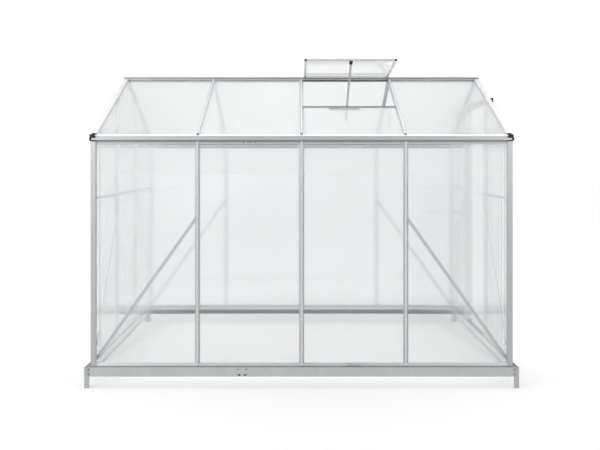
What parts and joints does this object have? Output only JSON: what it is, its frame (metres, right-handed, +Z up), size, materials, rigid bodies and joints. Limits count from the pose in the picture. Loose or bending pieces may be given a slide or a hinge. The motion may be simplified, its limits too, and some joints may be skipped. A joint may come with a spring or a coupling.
{
  "type": "greenhouse",
  "caption": "Gabled garden greenhouse: extruded aluminium frame glazed with clear twin-wall sheets, roof vent propped open, sliding gable door, steel base frame on ground legs.",
  "frame": {"origin": "on the ground, at the middle of the footprint", "axes": "+X along the length to the gable with the door, +Y to the back wall away from the roof vent, +Z up"},
  "size_m": [2.485, 1.884, 1.9294],
  "materials": {
    "aluminium": "mill-finish extruded aluminium, satin with fine die lines",
    "galvanised_steel": "galvanised folded sheet steel, matt",
    "twin_wall_sheet": "clear twin-wall polycarbonate with fine upright flutes",
    "black_plastic": "black moulded plastic"
  },
  "bodies": {
    "frame": {"back_eave": "aluminium", "back_roof_bars": "aluminium", "back_roof_sheets": "twin_wall_sheet", "back_sill": "aluminium", "back_wall_bars": "aluminium", "back_wall_braces": "aluminium", "back_wall_sheets": "twin_wall_sheet", "base_back_rail": "galvanised_steel", "base_end_rails": "galvanised_steel", "base_front_rail": "galvanised_steel", "corner_posts": "aluminium", "door_guide": "aluminium", "door_header": "aluminium", "door_jambs": "aluminium", "door_track": "aluminium", "door_track_caps": "black_plastic", "door_track_straps": "galvanised_steel", "eave_end_caps": "black_plastic", "front_eave": "aluminium", "front_roof_bars": "aluminium", "front_roof_sheets": "twin_wall_sheet", "front_sill": "aluminium", "front_wall_bars": "aluminium", "front_wall_braces": "aluminium", "front_wall_sheets": "twin_wall_sheet", "gable_braces": "aluminium", "gable_crossbars": "aluminium", "gable_rafters": "aluminium", "gable_sills": "aluminium", "ground_legs": "galvanised_steel", "left_gable_sheets": "twin_wall_sheet", "left_gable_studs": "aluminium", "rail_joint_plates": "galvanised_steel", "ridge": "aluminium", "ridge_end_caps": "black_plastic", "right_gable_sheets": "twin_wall_sheet", "vent_catch_plate": "aluminium", "vent_corner_caps": "black_plastic", "vent_rails": "aluminium", "vent_sheet": "twin_wall_sheet", "vent_sill_bar": "aluminium", "vent_stay": "aluminium", "vent_stay_fitting": "black_plastic", "vent_stiles": "aluminium"},
    "door": {"door_stiles": "aluminium", "door_rails": "aluminium", "door_sheets": "twin_wall_sheet", "door_hangers": "galvanised_steel"}
  },
  "joints": [
    {"name": "door_slide", "type": "slide", "parent": "frame", "child": "door", "axis": [0, -1, 0], "range_m": [0, 0.6]}
  ]
}
